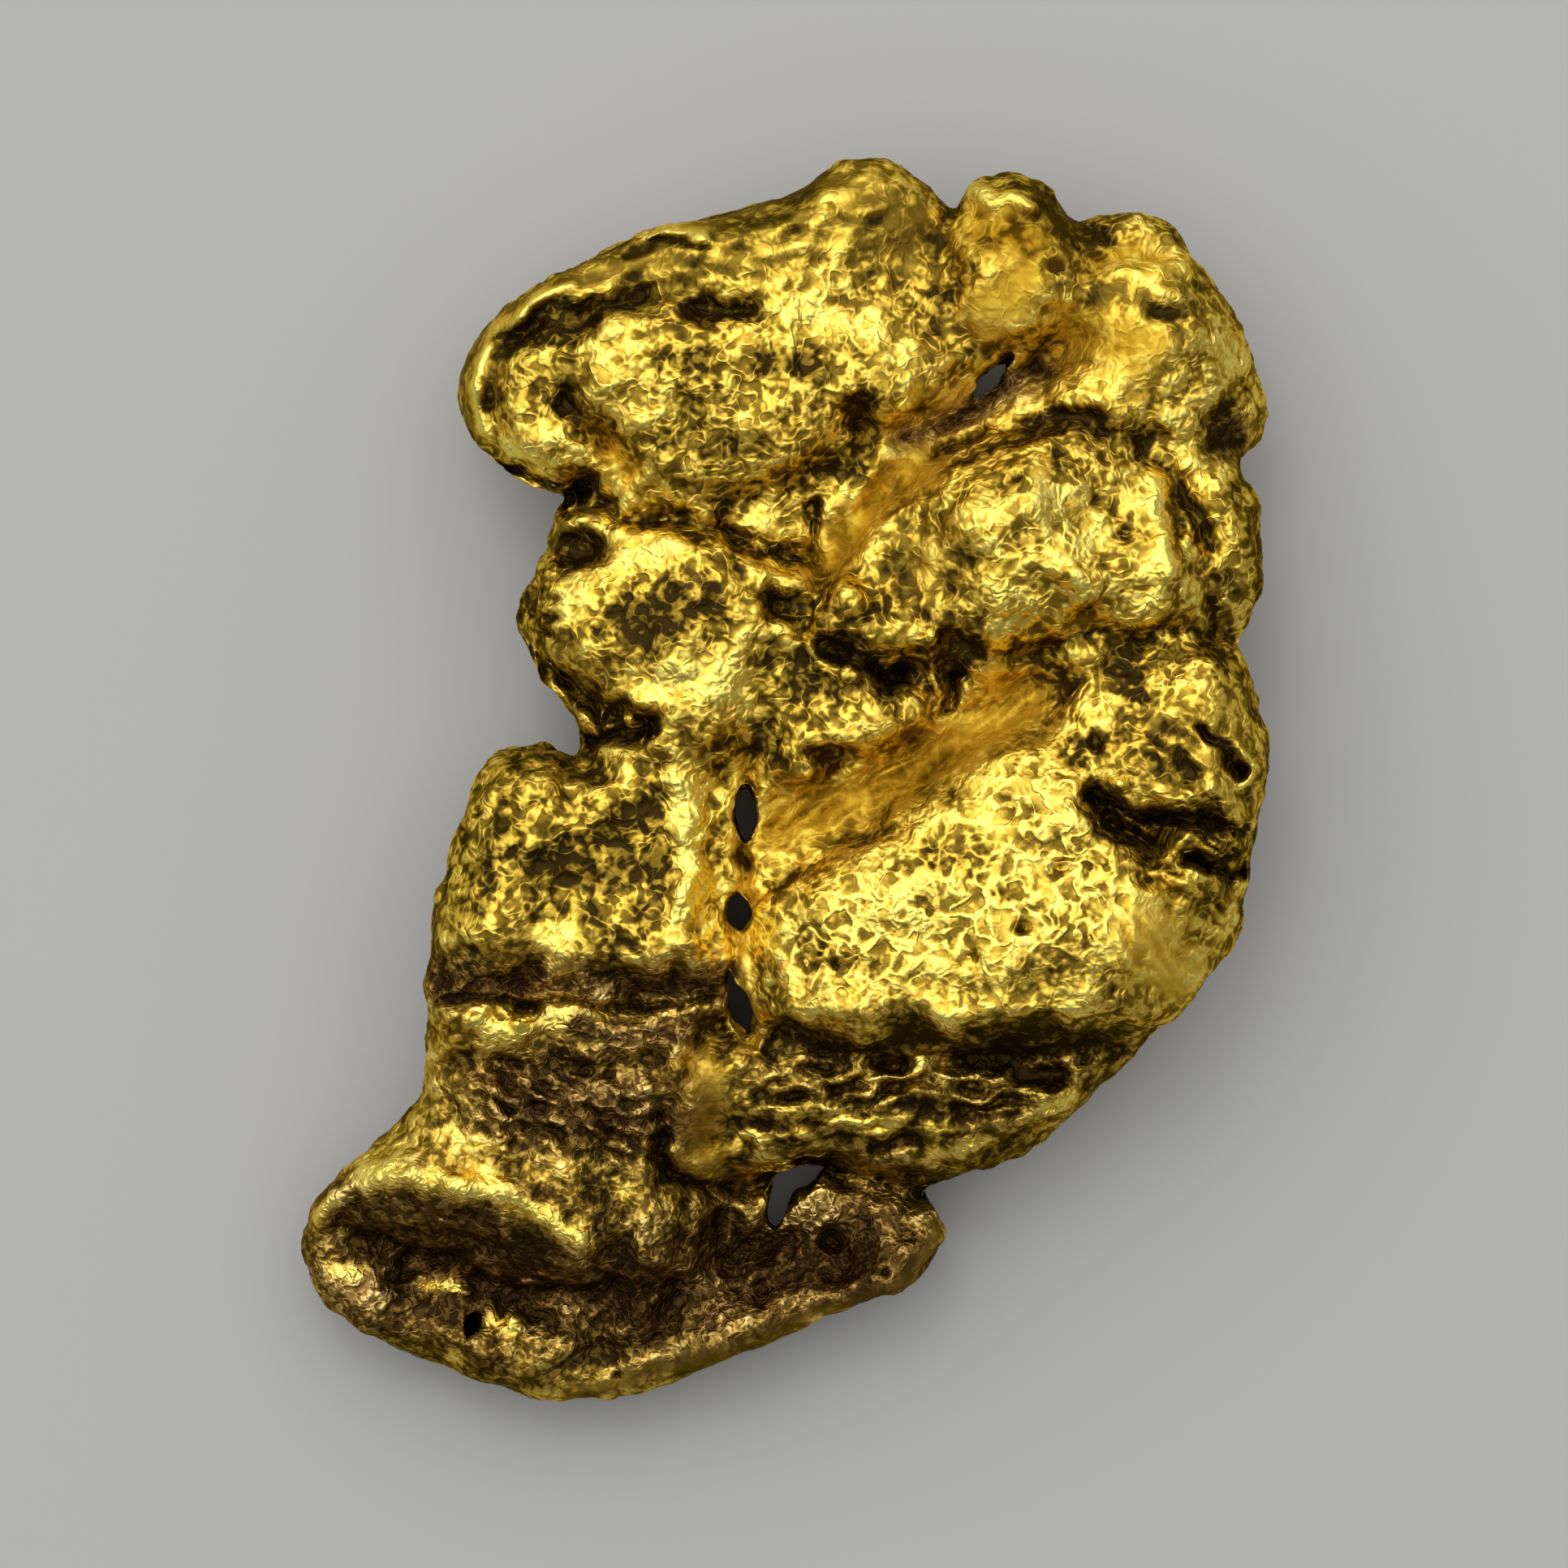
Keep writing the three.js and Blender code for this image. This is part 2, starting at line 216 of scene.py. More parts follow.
# The square plate on the left, stepping down by a ledge to the thin folded foot.
press(0.2, 0.6, (-1.9, 0.0), (-1.7, -1.6), (-1.8, -3.0))
press(0.15, 0.5, (-6.1, -0.6), (-5.4, 0.2), (-4.4, 0.2))
press(-0.15, 1.6, (-4.2, -1.6))
press(-0.45, 0.8, (-6.4, -3.75), (-4.0, -3.85), (-1.5, -3.95))
press(0.15, 0.5, (-6.3, -4.55), (-4.0, -4.65), (-1.8, -4.65))
press(-0.25, 0.5, (-6.2, -5.4), (-4.0, -5.5), (-2.2, -5.4))
press(0.12, 0.45, (-5.4, -4.75), (-4.9, -4.75))
press(0.5, 0.48, (-8.8, -8.2), (-8.3, -7.7), (-7.6, -7.4), (-6.4, -7.6), (-5.2, -7.95), (-4.0, -8.6))
press(-0.35, 1.3, (-7.6, -9.2), (-6.0, -9.5), (-4.6, -9.9))
press(0.25, 0.4, (-6.3, -9.5), (-5.6, -9.3), (-4.9, -9.7))
press(0.25, 0.6, (-4.5, -9.8), (-4.3, -10.8))
press(0.2, 0.4, (-6.5, -9.9), (-5.9, -10.0))
press(0.2, 0.5, (-5.3, -10.3))
press(0.3, 0.7, (-2.4, -8.3), (-2.5, -9.4), (-2.9, -11.0))
metal.swell(0.35, 0.9, (3.0, -8.8), (2.4, -9.6))
metal.swell(0.18, 0.8, (9.3, 7.5), (9.2, 6.8))
metal.swell(0.15, 0.9, (8.9, -3.0), (7.8, -4.2))
metal.swell(-0.12, 0.8, (-5.1, 3.4), (-4.9, 2.6))
metal.swell(-0.12, 1.0, (-6.3, -0.3), (-6.8, -2.2))
press(-0.4, 1.0, (-1.0, -9.0), (1.0, -8.8))
press(0.1, 0.5, (3.0, -8.3), (2.0, -9.5), (0.0, -10.3), (-4.0, -11.7))
metal.put_down()

# Where two lobes miss each other a slot is left right through: middle, size and turn of each
# cut. The last two cuts meet in one bent slot.
for x, y, width, length, turn in (
    (-0.69, -0.62, 0.54, 1.25, 0.0),
    (-0.82, -2.48, 0.58, 0.85, 0.1),
    (-0.84, -4.15, 0.5, 1.5, 0.3),
    (3.98, 7.72, 0.48, 1.3, -0.75),
    (-6.0, -10.5, 0.26, 0.6, -0.35),
    (0.38, -7.65, 0.6, 1.15, -1.15),
    (0.08, -8.0, 0.45, 1.3, -0.3),
):
    bpy.ops.mesh.primitive_cylinder_add(
        vertices=24, radius=0.5, depth=20, location=(x, y, 0), rotation=(0, 0, turn)
    )
    cutter = bpy.context.object
    for vertex in cutter.data.vertices:
        vertex.co.x *= 1 - 0.9 * abs(vertex.co.y)  # narrower towards both ends
    cutter.scale = (width, length, 1)
    bpy.context.view_layer.objects.active = nugget
    finish_with("BOOLEAN", object=cutter, operation="DIFFERENCE", solver="EXACT")
    bpy.data.objects.remove(cutter)
nugget.select_set(True)

finish_with("REMESH", mode="VOXEL", voxel_size=FINE)
finish_with("SMOOTH", factor=0.5, iterations=5)

# Parts of the surface that look alike. Each area is a width and a path through its middle.
CROWN = (
    (2.4, (0.8, -3.0), (3.5, -2.4), (5.5, -2.2), (4.8, -0.4)),  # the great lobe
    (0.8, (5.6, 4.6), (5.3, 5.6)),  # the dome
)
BUBBLED = (
    (1.9, (-4.5, 7.4), (-1.0, 7.4), (1.4, 7.8)),  # the bar
    (2.3, (-2.6, 3.0), (-2.2, 2.4)),  # the left middle lobe
    (1.2, (1.0, 3.6), (2.4, 2.7)),  # the small lobes beside it
)
RUBBED_SMOOTH = (
    (0.9, (-0.2, -0.9), (1.5, -0.35), (3.0, 0.55), (4.6, 1.5)),  # the middle trough
    (0.6, (2.6, 6.2), (1.3, 4.7), (0.7, 4.0)),  # the trough left of the dome
    (0.9, (4.0, 8.95), (4.5, 9.5)),  # the smooth knob
    (1.0, (6.9, -2.8), (7.3, -3.6)),  # the great lobe's shoulder
    (1.1, (1.6, 11.2), (2.4, 10.6)),  # the topmost knuckle
    (0.25, (-5.9, 6.8), (-6.0, 7.6), (-5.5, 8.7)),  # the bar's lip
    (0.35, (-5.5, 8.7), (-3.5, 9.8), (-1.0, 10.8), (1.0, 11.5)),  # the bar's upper edge
    (0.6, (-1.3, -5.6), (-1.7, -7.0)),  # the nose below the seam
    (0.3, (3.0, -8.6), (2.3, -9.5), (0.0, -10.6), (-4.0, -11.9)),  # the foot's lower rim
)
WORN = (
    (1.2, (-3.0, 9.6), (-1.0, 10.1), (1.4, 10.6), (2.2, 10.2)),  # along the bar's upper edge
    (2.2, (6.8, 8.8)),  # the upper right corner
    (1.8, (4.6, 10.2)),
    (1.2, (2.8, 4.2)),  # the dish left of the dome
    (1.3, (8.0, 0.9)),  # the lobe on the right edge
    (0.7, (-5.6, 8.9), (-5.9, 7.4)),  # the bar's lip
)


# Gravel and growth left the whole surface uneven: lumps, then rounded grains pressed together,
# and on the crowns a net of soft ridges instead.
def grain(size, strength, share, **settings):
    """Moves the surface by a cloudy texture of the given size, by each vertex's share."""
    texture = bpy.data.textures.new("grain", "CLOUDS")
    texture.noise_scale = size
    for name, value in settings.items():
        setattr(texture, name, value)
    group = nugget.vertex_groups.new(name="share")
    levels = 20
    level_of = np.rint(levels * share).astype(int)
    for level in range(1, levels + 1):
        group.add(np.flatnonzero(level_of == level).tolist(), level / levels, "REPLACE")
    finish_with(
        "DISPLACE", texture=texture, texture_coords="LOCAL", strength=strength, mid_level=0.5,
        vertex_group="share"
    )
    nugget.vertex_groups.clear()


metal = Metal()
rough = (1 - 0.7 * metal.over(RUBBED_SMOOTH)) * (1 - 0.5 * metal.over(WORN))
crowns = rough * metal.over(CROWN)
bubbled = rough * metal.over(BUBBLED)
grain(1.1, 0.32, rough, noise_depth=1)
grain(0.7, 0.14, bubbled, noise_depth=0)
grain(0.45, -0.12, rough - crowns, noise_basis="VORONOI_F1", noise_depth=1)
grain(0.5, -0.12, crowns, noise_basis="VORONOI_F2_F1", noise_depth=1)
grain(0.35, 0.06, rough, noise_depth=1)

# Furrows, which follow the way the metal was dragged: how high, long and wide, their turn and
# the area they lie in.
metal = Metal()
FIRST_FURROW_SEED = 20
for seed, (height, length, width, turn, area) in enumerate((
    (0.12, 1.3, 0.4, 4, (1.3, (0.4, -6.0), (5.0, -5.6))),
    (0.03, 1.6, 0.2, 34, (1.1, (-0.1, -0.8), (1.5, -0.3), (3.0, 0.6), (4.6, 1.6))),
    (0.09, 1.2, 0.3, -48, (1.2, (7.0, -3.2))),
    (0.08, 0.8, 0.3, -38, (1.8, (-5.0, -6.2), (-3.0, -6.4))),
    (0.05, 1.0, 0.5, 75, (1.8, (-2.6, -9.6), (0.5, -9.2))),
    (0.07, 0.9, 0.35, 30, (1.6, (-7.2, -9.4), (-4.6, -10.0))),
    (0.05, 1.2, 0.35, 18, (1.3, (-3.0, 9.8), (1.4, 10.7))),
    (0.14, 1.2, 0.45, -28, (1.7, (7.6, 0.4), (7.9, -1.6))),
), FIRST_FURROW_SEED):
    metal.wrinkle(height, length, width, turn, seed, metal.over([area]))
metal.put_down()

# Sharp folds and small pits, once the surface is fine enough to hold them.
metal = Metal()
press = metal.press
crease = metal.crease

# The seams between the lobes, and the step below the plate.
crease(0.35, 0.4, (4.8, 8.05), (3.9, 7.5), (3.3, 7.1), (2.7, 6.75), (2.3, 6.5))
crease(0.12, 0.25, (3.0, 6.3), (4.0, 6.75), (5.0, 6.95), (6.5, 6.75), (7.4, 5.95), (8.0, 4.8), (8.4, 3.0))
crease(0.35, 0.3, (-4.1, 5.35), (-2.5, 5.1), (-1.2, 4.9), (-0.3, 4.5), (0.4, 4.2))
crease(0.3, 0.22, (0.6, 5.2), (0.6, 4.3), (0.7, 3.3))
crease(0.45, 0.35, (-4.9, 2.5), (-4.2, 2.0), (-3.4, 1.4), (-2.6, 1.15))
crease(0.4, 0.35, (-3.7, 0.85), (-2.7, 0.9))
crease(0.15, 0.35, (4.4, 2.3), (5.5, 2.85), (6.6, 2.7), (7.6, 2.95), (8.9, 2.7))
crease(0.5, 0.4, (-2.2, -7.4), (-1.5, -7.75), (-0.5, -7.75), (0.3, -7.4), (1.2, -7.6), (3.1, -7.95))
crease(0.25, 0.2, (-6.5, -4.15), (-4.0, -4.25), (-1.6, -4.3))
press(0.25, 0.3, (-4.9, -4.4))

# The bar's lip, the seams from the nose up past the three slots, and the bar's grooves.
press(0.14, 0.22, (-5.3, 6.2), (-5.75, 6.8), (-5.95, 7.6), (-5.7, 8.4), (-5.1, 8.95), (-4.2, 9.35))
crease(0.1, 0.2, (-5.3, 6.7), (-5.65, 7.3), (-5.65, 7.9), (-5.4, 8.4))
crease(0.45, 0.3, (-5.7, 6.3), (-5.2, 6.0), (-4.4, 5.7), (-3.7, 5.6))
crease(0.3, 0.3, (-1.2, -4.7), (-2.0, -5.7), (-2.4, -6.7), (-2.2, -7.4))
crease(0.4, 0.25, (-0.75, 0.5), (-0.7, -1.2), (-0.85, -2.6), (-1.0, -3.6), (-0.7, -4.8))
crease(0.15, 0.3, (-5.2, 8.5), (-4.4, 8.7), (-3.4, 9.1), (-2.6, 9.1))
crease(0.15, 0.3, (-1.7, 9.0), (-0.5, 8.8))
crease(0.15, 0.25, (-4.2, 7.3), (-3.5, 6.7), (-2.9, 5.9))

# Pits and small rims of the upper end and the dome.
press(-0.5, 0.3, (-3.7, 5.7))
press(-0.14, 0.14, (-3.0, 10.15), (-2.2, 10.3), (-1.5, 10.3))
press(0.15, 0.2, (-3.0, 10.4), (-2.2, 10.5), (-1.4, 10.5))
press(0.2, 0.25, (3.7, 11.15), (4.2, 11.15), (4.7, 10.95))
press(-0.15, 0.3, (5.1, 9.7))
press(-0.4, 0.3, (6.1, 10.45))
press(-0.16, 0.4, (6.9, 9.15), (7.4, 9.1))
press(-0.3, 0.3, (7.5, 4.8))
press(-0.15, 0.3, (6.0, 5.6))
press(-0.15, 0.25, (6.5, 4.7))
press(-0.3, 0.25, (-2.9, 5.1))

# Notches in the left middle lobe, and black creases below and to the left of the dome.
for y in (3.6, 3.2, 2.85):
    crease(0.2, 0.2, (-4.95, y), (-4.2, y - 0.05))
press(0.2, 0.16, (2.7, 2.9), (2.9, 1.8))
crease(0.5, 0.2, (3.3, 2.2), (3.15, 1.4))
crease(0.35, 0.3, (0.95, 2.5), (1.5, 2.25), (2.2, 2.0))

# The torn lobe on the right edge.
press(-0.3, 0.32, (6.0, 0.7))
press(0.25, 0.25, (6.35, 0.05))
press(-0.35, 0.25, (8.05, 0.9), (8.4, 0.6), (8.7, 0.25))
press(0.15, 0.2, (8.6, 0.75), (8.95, 0.3), (8.85, 0.0))
crease(0.5, 0.22, (5.85, -0.35), (6.9, -0.55), (8.0, -0.7), (8.7, -0.95))
crease(0.6, 0.3, (6.1, -0.6), (6.6, -0.85), (7.05, -1.2))
crease(0.6, 0.25, (7.65, -1.45), (8.2, -1.57), (8.8, -1.7))
crease(0.3, 0.16, (7.9, -1.0), (8.5, -1.4))
press(0.2, 0.14, (7.45, -1.2), (7.65, -0.7))

# Pits in the great lobe, pitted bubbles on the plate's right rim, and marks in the foot.
for x, y, width in (
    (3.6, -3.4, 0.3),
    (1.25, -3.4, 0.35),
    (5.3, -1.7, 0.3),
    (4.6, -2.8, 0.25),
    (4.2, -0.4, 0.3),
    (3.1, -0.2, 0.25),
):
    press(-0.16, width, (x, y))
for x, y in ((-1.7, -1.0), (-1.7, -1.7), (-1.8, -2.5)):
    press(0.1, 0.35, (x, y))
    press(-0.12, 0.18, (x, y))
press(-0.4, 0.4, (0.9, -8.9))
press(0.2, 0.2, (0.0, -8.9), (-0.5, -9.5))
for x, y in ((2.0, -9.4), (-0.5, -10.7), (-3.2, -11.5)):
    press(-0.2, 0.15, (x, y))
metal.places[:, 2] = np.maximum(metal.places[:, 2], 0)
metal.put_down()

MOST_TRIANGLES = 197000
triangles_now = 2 * len(nugget.data.polygons)  # the remeshed faces all have four corners
finish_with("DECIMATE", ratio=min(1.0, MOST_TRIANGLES / triangles_now))

# ---- The nugget's surface ----
# Where gravel rubs it the metal is bright yellow, and painted highlights brighten the dome, the crests,
# rims, facets and single scales further. Hollows keep a dull brown skin and get painted shade too, as
# do steep flanks, creases and slopes that face away from the lamp. The smooth troughs keep an amber
# skin, and the lower end is earthy dark brown all over, with a few bright scales painted as glints.
metal = Metal()


def spread(values, rounds):
    """Averages values over neighbouring vertices."""
    count = len(values)
    edges = np.empty(2 * len(nugget.data.edges), np.int32)
    nugget.data.edges.foreach_get("vertices", edges)
    a, b = edges.reshape(-1, 2).T
    degree = np.bincount(a, minlength=count) + np.bincount(b, minlength=count)
    for _ in range(rounds):
        total = [
            np.bincount(a, column[b], count) + np.bincount(b, column[a], count) for column in values.T
        ]
        values = 0.5 * values + 0.5 * np.stack(total, 1) / degree[:, None]
    return values


def store(name, values):
    attribute = nugget.data.attributes.new(name, "FLOAT", "POINT")
    attribute.data.foreach_set("value", np.clip(values, 0, 1).astype(np.float32))


outward = metal.read("normal")
CLOSE_ROUNDS = 8  # rounds of averaging that reach the grains round a vertex
WIDE_ROUNDS = 80  # and the lobes round it
small = ((spread(metal.places, CLOSE_ROUNDS) - metal.places) * outward).sum(1)
large = ((spread(metal.places, WIDE_ROUNDS) - metal.places) * outward).sum(1)
# How hollow each place is: the material paints shade into the hollows with it, and a little light onto the
# rounded tops.
store("hollow", 0.5 + 5.0 * small + 1.5 * np.maximum(large, -0.08))
# How steep each place is: the steep flanks take half a share of painted shade below.
flank = 1 - smoothstep(0.2, 0.75, np.abs(outward[:, 2]))
store("crown", metal.over(CROWN))
store("smooth", np.maximum(metal.over(RUBBED_SMOOTH), 0.7 * metal.over(WORN)))

AMBER_SKIN = (
    (1.1, (-0.2, -0.9), (1.5, -0.35), (3.0, 0.55), (4.6, 1.5)),  # the middle trough
    (0.6, (2.6, 6.2), (1.3, 4.7), (0.7, 4.0)),  # the trough left of the dome
    (0.9, (5.4, 8.2), (3.9, 7.4), (2.3, 6.5)),  # the upper cleft, and beyond its right end
    (0.9, (5.5, 8.6), (6.8, 8.2)),
    (0.35, (-0.8, 0.4), (-0.85, -2.6), (-0.7, -4.8)),  # the seam with the three slots
    (1.0, (6.9, -2.7), (7.3, -3.5)),  # the great lobe's shoulder
    (0.8, (4.5, 9.5), (4.0, 8.95)),  # the smooth knob, and the hollow above it
    (0.9, (3.9, 10.6), (4.7, 10.2)),
    (0.4, (-3.6, 6.8), (-2.9, 5.9)),  # the groove across the bar
    (0.5, (6.0, 9.95), (7.2, 9.95)),  # a groove of the upper right corner
    (0.7, (-1.5, -5.2), (-1.7, -6.6), (-1.4, -7.2)),  # the nose below the seam
)
store("amber", metal.over(AMBER_SKIN))

# Dull olive skin in patches, and painted shade: on the slopes that face away from the lamp, just below the
# crest, on the step below the plate, in the grooves and creases, in the pits and under the bar's lip.
DULL_AND_SHADED = (  # how dark, from nothing to one, and where
    (0.6, ((2.1, (-4.8, -1.5), (-3.5, -1.6)),)),  # the middle of the plate
    (0.8, (
        (0.7, (-2.2, 7.9), (-1.2, 7.3)),  # patches and grooves of the bar
        (0.5, (-0.4, 8.1), (0.4, 7.9)),
        (0.65, (-5.2, 8.5), (-3.0, 9.1)),
        (0.4, (-1.7, 9.0), (-0.6, 8.8)),
        (0.3, (-4.2, 7.3), (-3.5, 6.7)),
        (0.8, (-3.2, 3.1), (-2.1, 3.0)),  # the left middle lobe
        (0.55, (-1.7, 4.2), (-1.4, 3.4)),
        (0.4, (5.0, 6.95), (6.5, 6.75), (8.0, 4.8)),  # the crease round the dome
        (1.0, (4.4, 11.4), (5.4, 10.6)),  # the upper right corner
        (0.5, (7.2, 9.2)),
    )),
    (0.2, ((1.4, (0.2, -5.7), (5.8, -5.3)), (1.0, (0.5, -6.6), (4.0, -6.4)))),  # the slope
    (0.8, SLOPE_PITS),
    (0.9, (  # just below the crest
        (0.5, (0.1, -4.75), (1.5, -4.95), (2.8, -4.8), (3.7, -5.0), (5.5, -4.85), (7.0, -4.8)),
    )),
    (0.25, ((0.8, (-6.4, -3.8), (-1.5, -3.9)),)),  # the step below the plate
    (0.2, (  # from the ledge down to the foot
        (1.5, (-6.0, -6.4), (-5.2, -6.6), (-3.4, -7.0)),
        (0.8, (-3.8, -4.8), (-2.0, -4.8)),
        (1.6, (-2.8, -7.6), (-3.0, -9.0)),
    )),
    (0.6, (  # the foot below its fold, and the ridge across it
        (0.8, (-7.8, -8.4), (-6.0, -8.5), (-4.8, -9.1)),
        (0.7, (-2.4, -8.2), (-2.5, -9.4), (-2.9, -11.0)),
    )),
    (0.5, ((0.8, (-9.2, -8.9), (-8.8, -10.0), (-7.0, -11.0), (-5.0, -11.6)),)),  # its outer edge
    (0.3, (  # broad areas a little darker than their surroundings
        (1.6, (-7.6, -9.2), (-6.0, -9.5), (-4.6, -9.9)),
        (2.2, (-1.0, -9.4), (1.6, -8.9)),
        (2.0, (7.4, 8.6)),
        (1.2, (-1.4, -5.6), (-1.6, -6.8)),
        (1.8, (7.8, 0.6)),
        (1.6, (2.0, 10.9), (4.8, 10.0)),
    )),
    (0.9, ((0.8, (3.9, 10.6), (4.7, 10.2)),)),  # the hollow above the knob
    (1.0, (  # painted shade in pits and black creases, and under the bar's lip
        (0.8, (1.5, 6.9)),
        (0.65, (-3.8, 4.5)),
        (0.9, (8.5, 6.6)),
        (0.4, (6.0, 10.4), (6.5, 10.3)),
        (0.35, (-6.1, 6.8), (-5.7, 6.3), (-5.2, 5.95), (-4.4, 5.65), (-3.6, 5.6)),
        (0.55, (0.95, 2.5), (1.5, 2.3), (2.2, 2.0)),
        (0.6, (3.2, 2.5), (3.7, 2.4)),
        (0.45, (0.9, 0.55)),
        (0.5, (-3.7, 0.85), (-2.7, 0.9)),
        (0.4, (6.0, 0.7)),
        (0.55, (5.9, -0.45), (7.0, -0.85), (8.3, -0.85)),
        (0.4, (7.7, -1.45), (8.7, -1.65)),
        (0.3, (8.05, 0.9), (8.7, 0.25)),
        (0.5, (-4.9, 2.3), (-3.4, 1.3)),
    )),
)
dull_and_shaded = [share * metal.over(areas) for share, areas in DULL_AND_SHADED]
store("tarnish", np.maximum.reduce([0.5 * flank] + dull_and_shaded))

# An earthy dark brown skin on the foot and round it, which on the step below the plate, the upper cleft,
# the notch and the slope also stands for painted shade.
EARTHY_AND_SHADED = (
    (3.6, (-8.0, -9.6), (-5.0, -9.6), (-1.5, -9.8), (1.6, -8.9)),  # the foot
    (2.6, (-5.0, -6.0), (-2.8, -6.2)),  # between the ledge and the foot
    (1.5, (-8.4, -8.2), (-7.0, -8.0), (-4.6, -8.8)),  # the foot's fold
    (0.8, (-4.2, -4.8), (-1.8, -4.8)),  # the ledge
    (1.0, (-6.4, -3.8), (-1.5, -3.9)),  # the step below the plate
    (0.6, (5.0, 8.0), (3.4, 7.1), (2.3, 6.5)),  # the upper cleft
    (0.7, (8.5, 6.6)),  # the notch in the right edge
)
SLOPE_EARTH_AND_SHADE = ((1.6, (0.0, -5.6), (6.0, -5.4), (4.0, -7.0)),)  # the slope
store("earth", np.maximum(0.55 * metal.over(SLOPE_EARTH_AND_SHADE), metal.over(EARTHY_AND_SHADED)))

# Places painted brighter: partly metal rubbed bright, partly painted highlights on the lobes that face the
# lamp, and painted glints on crests, rims, facets and single scales.
SOFTLY_BRIGHT = (
    (2.2, (6.2, 5.2), (5.0, 3.9)),  # the dome
    (1.3, (6.7, -2.5), (7.3, -3.4)),  # the great lobe's shoulder and its crown
    (1.4, (2.8, -3.0), (5.2, -2.0)),
    (1.1, (2.8, 4.2)),  # the dish left of the dome
)
BRIGHT = (
    (0.5, (-7.9, -7.35), (-7.3, -7.45), (-6.4, -7.6), (-5.6, -7.65)),  # the top of the foot's fold
    (0.45, (-5.2, -8.1), (-4.5, -8.35), (-3.9, -8.65)),
    (0.3, (-8.9, -8.3), (-8.6, -8.1)),  # single scales on the dark lower end
    (0.25, (-3.2, -7.8), (-3.0, -7.8)),
    (0.2, (-3.5, -5.0)),
    (0.25, (-6.4, -6.65), (-5.6, -6.9)),
    (0.3, (-6.8, -9.8), (-6.3, -9.9)),
    (0.35, (-5.7, -10.3), (-5.3, -10.5)),
    (0.3, (-6.3, -11.1)),
    (0.3, (-8.6, -9.3), (-8.2, -9.5)),
    (0.3, (6.35, 0.05)),  # the small ball on the right lobe
    (0.3, (4.7, 6.1), (5.1, 4.8), (5.6, 3.7)),  # ridges down the dome
    (0.3, (7.05, 6.0), (7.1, 4.8), (7.3, 4.1)),
    (0.7, (-5.4, -4.7), (-4.9, -4.65)),  # facets of the ledge
    (0.35, (-4.2, -4.55), (-4.25, -4.85)),
    (0.5, (1.5, 8.6), (0.3, 8.9)),  # grains and rims of the upper end
    (0.35, (-5.2, 6.4), (-4.6, 6.1)),
    (0.3, (3.7, 11.15), (4.7, 11.0)),
    (0.2, (-3.0, 10.4), (-2.2, 10.5), (-1.4, 10.5)),
    (0.25, (6.8, 9.45), (7.5, 9.35)),
    (0.16, (-5.3, 6.2), (-5.75, 6.8), (-5.95, 7.6), (-5.7, 8.4), (-5.1, 8.95), (-4.2, 9.35)),
    (0.6, (-2.2, 4.4)),  # the left middle lobe
    (0.6, (-4.1, 3.4)),
    (0.7, (-2.4, 1.9), (-1.2, 2.1)),
    (0.5, (-0.3, 4.0)),
    (0.7, (-1.8, 0.2), (-1.7, -2.6)),  # the plate's right rim, and flakes low on it
    (0.5, (-4.0, -2.7), (-4.7, -2.9)),
    (0.25, (1.1, -6.45), (2.2, -6.6)),  # short dashes on the slope
    (0.25, (2.8, -7.25), (4.0, -6.9)),
    (0.2, (-0.8, -6.95), (-0.3, -6.9)),
    (0.2, (-0.4, -7.3), (0.0, -7.35)),
    (0.25, (2.6, -5.45), (3.1, -5.4)),
    (0.3, (5.1, -6.2), (5.5, -6.0)),
)
store("burnish", np.maximum(0.4 * metal.over(SOFTLY_BRIGHT), metal.over(BRIGHT)))
bpy.ops.object.shade_smooth()
nugget.scale = (1 / THOUSAND, 1 / THOUSAND, 1 / THOUSAND)
bpy.ops.object.transform_apply(location=False, rotation=False, scale=True)


class Wire:
    """An output socket of a material's node tree, on which Python's signs add Math nodes."""

    def __init__(self, tree, socket=None):
        self.tree = tree
        self.socket = socket

    def node(self, kind, settings=(), output=0, **values):
        """Adds a node: its settings, then a value or a wire for each socket, by name or i and number."""
        made = self.tree.nodes.new(kind)
        for name, value in dict(settings).items():
            if name == "stops":
                for stop in value[2:]:
                    made.color_ramp.elements.new(stop[0])
                for element, stop in zip(made.color_ramp.elements, value):
                    element.position, element.color = stop
            else:
                setattr(made, name, value)
        for name, value in values.items():
            key = int(name[1:]) if name[0] == "i" and name[1:].isdigit() else name.replace("_", " ")
            if isinstance(value, Wire):
                self.tree.links.new(value.socket, made.inputs[key])
            else:
                made.inputs[key].default_value = value
        return Wire(self.tree, made.outputs[output])

    def maths(self, operation, first, second=0.0):
        return self.node("ShaderNodeMath", {"operation": operation}, i0=first, i1=second)

    def __add__(self, other):
        return self.maths("ADD", self, other)

    def __mul__(self, other):
        return self.maths("MULTIPLY", self, other)

    def __sub__(self, other):
        return self.maths("SUBTRACT", self, other)

    def __rsub__(self, other):
        return self.maths("SUBTRACT", other, self)

    def __abs__(self):
        return self.maths("ABSOLUTE", self)

    __radd__ = __add__
    __rmul__ = __mul__

    def ease(self, low, high):
        """Nothing at low, one at high, and soft between."""
        soft = {"interpolation_type": "SMOOTHSTEP"}
        return self.node("ShaderNodeMapRange", soft, Value=self, From_Min=low, From_Max=high)

    def blend_value(self, under, over):
        """A number from under to over, as this goes from nothing to one."""
        return under + self * (over - under)

    def blend(self, under, over):
        """A colour from under to over, as this goes from nothing to one."""
        return self.node("ShaderNodeMix", {"data_type": "RGBA"}, output=2, i0=self, i6=under, i7=over)


gold = bpy.data.materials.new("native_gold")
gold.use_nodes = True
tree = gold.node_tree
shader = tree.nodes["Principled BSDF"]
wire = Wire(tree)
where = wire.node("ShaderNodeTexCoord", output=3)


